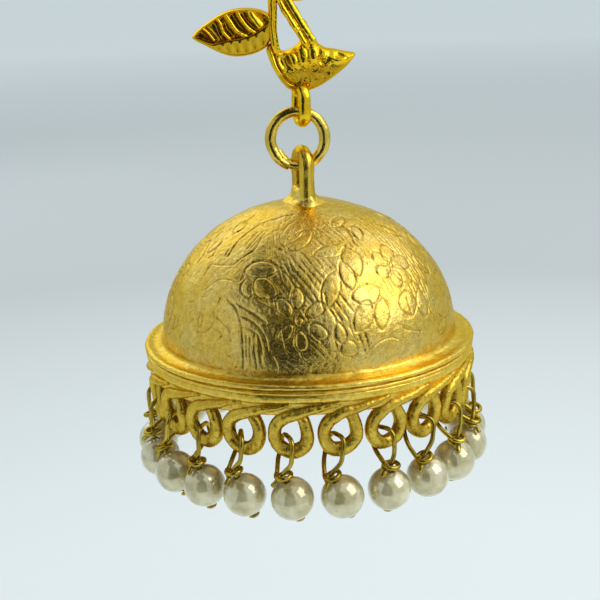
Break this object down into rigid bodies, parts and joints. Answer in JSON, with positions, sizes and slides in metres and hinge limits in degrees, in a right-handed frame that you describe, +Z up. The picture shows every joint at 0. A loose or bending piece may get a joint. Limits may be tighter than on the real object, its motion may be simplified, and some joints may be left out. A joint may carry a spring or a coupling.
{
  "type": "jhumka earring",
  "caption": "Drop earring: leaf-and-bird ear stud, jump ring and a domed bell with a scroll skirt fringed with pearl drops.",
  "frame": {"origin": "where the ear post leaves the flat back of the stud", "axes": "+Z up as worn, +Y back along the ear post, +X to the right as seen from the front"},
  "size_m": [0.035, 0.0346, 0.0535],
  "materials": {
    "matte_gold": "matt gold-plated casting, sand-grained on the dome and worn bright on the edges",
    "bright_gold": "bright gold-plated casting",
    "ring_gold": "polished gold-plated wire",
    "wire": "thin brass wire, slightly dulled",
    "pearl": "pearlescent ivory coating"
  },
  "bodies": {
    "stud": {"stud_top": "bright_gold"},
    "ring": {"jump_ring": "ring_gold"},
    "bell": {"bell": "matte_gold", "pearl_01": "pearl", "pearl_02": "pearl", "pearl_03": "pearl", "pearl_04": "pearl", "pearl_05": "pearl", "pearl_06": "pearl", "pearl_07": "pearl", "pearl_08": "pearl", "pearl_09": "pearl", "pearl_10": "pearl", "pearl_11": "pearl", "pearl_12": "pearl", "pearl_13": "pearl", "pearl_14": "pearl", "pearl_15": "pearl", "pearl_16": "pearl", "pearl_17": "pearl", "pearl_18": "pearl", "pearl_19": "pearl", "pearl_20": "pearl", "pearl_21": "pearl", "pearl_22": "pearl", "drop_wire_01": "wire", "drop_wire_02": "wire", "drop_wire_03": "wire", "drop_wire_04": "wire", "drop_wire_05": "wire", "drop_wire_06": "wire", "drop_wire_07": "wire", "drop_wire_08": "wire", "drop_wire_09": "wire", "drop_wire_10": "wire", "drop_wire_11": "wire", "drop_wire_12": "wire", "drop_wire_13": "wire", "drop_wire_14": "wire", "drop_wire_15": "wire", "drop_wire_16": "wire", "drop_wire_17": "wire", "drop_wire_18": "wire", "drop_wire_19": "wire", "drop_wire_20": "wire", "drop_wire_21": "wire", "drop_wire_22": "wire"}
  },
  "joints": [
    {"name": "ring_swing", "type": "hinge", "parent": "stud", "child": "ring", "pos_m": [0.0001, -0.0009, -0.01561], "axis": [0, 1, 0], "range_deg": [-25, 25]},
    {"name": "bell_swing", "type": "hinge", "parent": "ring", "child": "bell", "pos_m": [0, -0.0009, -0.01957], "axis": [1, 0, 0], "range_deg": [-35, 35]}
  ]
}
